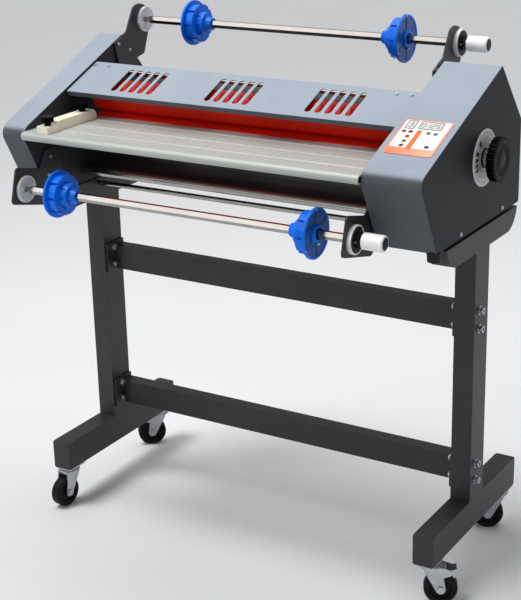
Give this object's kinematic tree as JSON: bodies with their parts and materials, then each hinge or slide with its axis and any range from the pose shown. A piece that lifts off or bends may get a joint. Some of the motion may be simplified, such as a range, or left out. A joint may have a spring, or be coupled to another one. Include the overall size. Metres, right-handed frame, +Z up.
{
  "type": "roll laminator",
  "caption": "Wide-format roll laminator with silicone nip rollers, hexagon film supply shafts, slotted cover, feed table and side guide on a stand with swivel casters.",
  "frame": {"origin": "on the floor, under the middle of the stand between the two legs, in the middle plane of the posts", "axes": "+Z up, +X to the operator's right along the rollers, +Y to the back, the way the work leaves"},
  "size_m": [0.9345, 0.507, 1.023],
  "materials": {
    "stand_paint": "satin charcoal powder coat",
    "cabinet_paint": "fine-texture blue-grey powder coat",
    "zinc": "bright zinc plate",
    "chrome": "polished",
    "steel": "machined",
    "wheel_rubber": "moulded",
    "foot_rubber": "moulded",
    "silicone_red": "ground silicone",
    "rubber_black": "ground",
    "table_aluminium": "bead-blasted, pale",
    "tray_paint": "satin black",
    "plastic_black": "moulded",
    "plastic_blue": "moulded",
    "plastic_white": "moulded",
    "plastic_ivory": "moulded",
    "panel_film": "printed membrane",
    "scale_print": "printed disc",
    "bearing_iron": "machined",
    "motor_metal": "cast"
  },
  "bodies": {
    "stand": {"leg_left": "stand_paint", "leg_right": "stand_paint", "beam_upper": "stand_paint", "beam_lower": "stand_paint", "foot_end_caps": "stand_paint", "stand_bolts": "zinc", "caster_plates": "zinc", "rubber_feet": "foot_rubber", "side_plate_left": "cabinet_paint", "side_plate_right": "cabinet_paint", "cabinet_cover_left": "cabinet_paint", "cabinet_cover_right": "cabinet_paint", "top_cover": "cabinet_paint", "cover_screws": "zinc", "guide_bars": "chrome", "lower_tray": "tray_paint", "rear_panel": "cabinet_paint", "feed_table": "table_aluminium", "lower_bearings": "bearing_iron", "pressure_springs": "steel", "gear_motor": "motor_metal", "pressure_scale": "scale_print", "shaft_brackets": "stand_paint", "shaft_seats": "plastic_white", "control_panel": "panel_film", "mains_inlet": "plastic_black"},
    "fork_left_front": {"caster_fork_left_front": "zinc"},
    "wheel_left_front": {"caster_wheel_left_front": "wheel_rubber"},
    "fork_right_front": {"caster_fork_right_front": "zinc"},
    "wheel_right_front": {"caster_wheel_right_front": "wheel_rubber"},
    "brake_right_front": {"brake_pedal_right_front": "zinc"},
    "fork_left_rear": {"caster_fork_left_rear": "zinc"},
    "wheel_left_rear": {"caster_wheel_left_rear": "wheel_rubber"},
    "brake_left_rear": {"brake_pedal_left_rear": "zinc"},
    "fork_right_rear": {"caster_fork_right_rear": "zinc"},
    "wheel_right_rear": {"caster_wheel_right_rear": "wheel_rubber"},
    "lower_roller": {"lower_roller_core": "steel", "lower_roller_sleeve": "silicone_red", "lower_roller_gear": "steel"},
    "upper_blocks": {"upper_bearing_blocks": "bearing_iron"},
    "upper_roller": {"upper_roller_core": "steel", "upper_roller_sleeve": "silicone_red", "upper_roller_gear": "steel"},
    "pull_lower": {"pull_roller_lower": "rubber_black"},
    "pull_upper": {"pull_roller_upper": "rubber_black"},
    "pinion": {"motor_pinion": "steel"},
    "pressure_control": {"cam_shaft": "chrome", "pressure_knob": "plastic_black"},
    "upper_shaft": {"upper_supply_shaft": "chrome"},
    "upper_tension": {"upper_tension_knob": "plastic_white"},
    "chuck_upper_left": {"core_chuck_upper_left": "plastic_blue"},
    "chuck_upper_right": {"core_chuck_upper_right": "plastic_blue"},
    "lower_shaft": {"lower_supply_shaft": "chrome"},
    "lower_tension": {"lower_tension_knob": "plastic_white"},
    "chuck_lower_left": {"core_chuck_lower_left": "plastic_blue"},
    "chuck_lower_right": {"core_chuck_lower_right": "plastic_blue"},
    "guide": {"side_guide": "plastic_ivory"},
    "guide_clamp_front": {"guide_knob_front": "plastic_black"},
    "guide_clamp_rear": {"guide_knob_rear": "plastic_black"},
    "switch_rocker": {"power_switch": "plastic_black"}
  },
  "joints": [
    {"name": "swivel_left_front", "type": "hinge", "parent": "stand", "child": "fork_left_front", "pos_m": [-0.416, -0.165, 0.075], "axis": [0, 0, 1], "continuous": true},
    {"name": "wheel_spin_left_front", "type": "hinge", "parent": "fork_left_front", "child": "wheel_left_front", "pos_m": [-0.4183, -0.18688, 0.0315], "axis": [-0.9945, 0.1045, 0], "continuous": true},
    {"name": "swivel_right_front", "type": "hinge", "parent": "stand", "child": "fork_right_front", "pos_m": [0.416, -0.165, 0.075], "axis": [0, 0, 1], "continuous": true},
    {"name": "wheel_spin_right_front", "type": "hinge", "parent": "fork_right_front", "child": "wheel_right_front", "pos_m": [0.4356, -0.15501, 0.0315], "axis": [0.454, -0.891, 0], "continuous": true},
    {"name": "brake_press_right_front", "type": "hinge", "parent": "fork_right_front", "child": "brake_right_front", "pos_m": [0.44986, -0.14775, 0.066], "axis": [-0.454, 0.891, 0], "range_deg": [0, 8]},
    {"name": "swivel_left_rear", "type": "hinge", "parent": "stand", "child": "fork_left_rear", "pos_m": [-0.416, 0.165, 0.075], "axis": [0, 0, 1], "continuous": true},
    {"name": "wheel_spin_left_rear", "type": "hinge", "parent": "fork_left_rear", "child": "wheel_left_rear", "pos_m": [-0.43235, 0.15028, 0.0315], "axis": [-0.6691, 0.7431, 0], "continuous": true},
    {"name": "brake_press_left_rear", "type": "hinge", "parent": "fork_left_rear", "child": "brake_left_rear", "pos_m": [-0.44424, 0.13957, 0.066], "axis": [0.6691, -0.7431, 0], "range_deg": [0, 8]},
    {"name": "swivel_right_rear", "type": "hinge", "parent": "stand", "child": "fork_right_rear", "pos_m": [0.416, 0.165, 0.075], "axis": [0, 0, 1], "continuous": true},
    {"name": "wheel_spin_right_rear", "type": "hinge", "parent": "fork_right_rear", "child": "wheel_right_rear", "pos_m": [0.39658, 0.15467, 0.0315], "axis": [-0.4695, 0.8829, 0], "continuous": true},
    {"name": "lower_roller_spin", "type": "hinge", "parent": "stand", "child": "lower_roller", "pos_m": [0, -0.053, 0.8], "axis": [1, 0, 0], "continuous": true},
    {"name": "pressure_turn", "type": "hinge", "parent": "stand", "child": "pressure_control", "pos_m": [0.461, -0.004, 0.809], "axis": [1, 0, 0], "range_deg": [0, 180]},
    {"name": "roller_lift", "type": "slide", "parent": "stand", "child": "upper_blocks", "axis": [0, 0, 1], "range_m": [0, 0.005], "deforming": ["pressure_springs"]},
    {"name": "upper_roller_spin", "type": "hinge", "parent": "upper_blocks", "child": "upper_roller", "pos_m": [0, -0.053, 0.862], "axis": [1, 0, 0], "continuous": true},
    {"name": "pull_lower_spin", "type": "hinge", "parent": "stand", "child": "pull_lower", "pos_m": [0, 0.085, 0.809], "axis": [1, 0, 0], "continuous": true},
    {"name": "pull_upper_spin", "type": "hinge", "parent": "stand", "child": "pull_upper", "pos_m": [0, 0.085, 0.853], "axis": [1, 0, 0], "continuous": true},
    {"name": "pinion_spin", "type": "hinge", "parent": "stand", "child": "pinion", "pos_m": [0.356, -0.053, 0.7535], "axis": [1, 0, 0], "continuous": true},
    {"name": "upper_shaft_spin", "type": "hinge", "parent": "stand", "child": "upper_shaft", "pos_m": [0, 0.143, 0.978], "axis": [1, 0, 0], "continuous": true},
    {"name": "upper_tension_turn", "type": "hinge", "parent": "upper_shaft", "child": "upper_tension", "pos_m": [0.353, 0.143, 0.978], "axis": [1, 0, 0], "range_deg": [-360, 360]},
    {"name": "chuck_slide_upper_left", "type": "slide", "parent": "upper_shaft", "child": "chuck_upper_left", "axis": [1, 0, 0], "range_m": [-0.05, 0.15]},
    {"name": "chuck_slide_upper_right", "type": "slide", "parent": "upper_shaft", "child": "chuck_upper_right", "axis": [1, 0, 0], "range_m": [-0.15, 0.04]},
    {"name": "lower_shaft_spin", "type": "hinge", "parent": "stand", "child": "lower_shaft", "pos_m": [0, -0.269, 0.717], "axis": [1, 0, 0], "continuous": true},
    {"name": "lower_tension_turn", "type": "hinge", "parent": "lower_shaft", "child": "lower_tension", "pos_m": [0.353, -0.269, 0.717], "axis": [1, 0, 0], "range_deg": [-360, 360]},
    {"name": "chuck_slide_lower_left", "type": "slide", "parent": "lower_shaft", "child": "chuck_lower_left", "axis": [1, 0, 0], "range_m": [-0.05, 0.15]},
    {"name": "chuck_slide_lower_right", "type": "slide", "parent": "lower_shaft", "child": "chuck_lower_right", "axis": [1, 0, 0], "range_m": [-0.15, 0.04]},
    {"name": "guide_slide", "type": "slide", "parent": "stand", "child": "guide", "axis": [1, 0, 0], "range_m": [-0.02, 0.64]},
    {"name": "guide_clamp_front_turn", "type": "hinge", "parent": "guide", "child": "guide_clamp_front", "pos_m": [-0.346, -0.241, 0.85], "axis": [0, 0, 1], "range_deg": [0, 360]},
    {"name": "guide_clamp_rear_turn", "type": "hinge", "parent": "guide", "child": "guide_clamp_rear", "pos_m": [-0.347, -0.134, 0.85], "axis": [0, 0, 1], "range_deg": [0, 360]},
    {"name": "power_switch_tilt", "type": "hinge", "parent": "stand", "child": "switch_rocker", "pos_m": [0.362, 0.161, 0.722], "axis": [1, 0, 0], "range_deg": [0, 14]}
  ],
  "couplings": [
    {"joint": "upper_roller_spin", "follows": "lower_roller_spin", "ratio": -1},
    {"joint": "pull_lower_spin", "follows": "lower_roller_spin", "ratio": 1.4091},
    {"joint": "pull_upper_spin", "follows": "lower_roller_spin", "ratio": -1.4091},
    {"joint": "pinion_spin", "follows": "lower_roller_spin", "ratio": -2},
    {"joint": "pressure_turn", "follows": "roller_lift", "rad_per_m": 628.32}
  ]
}
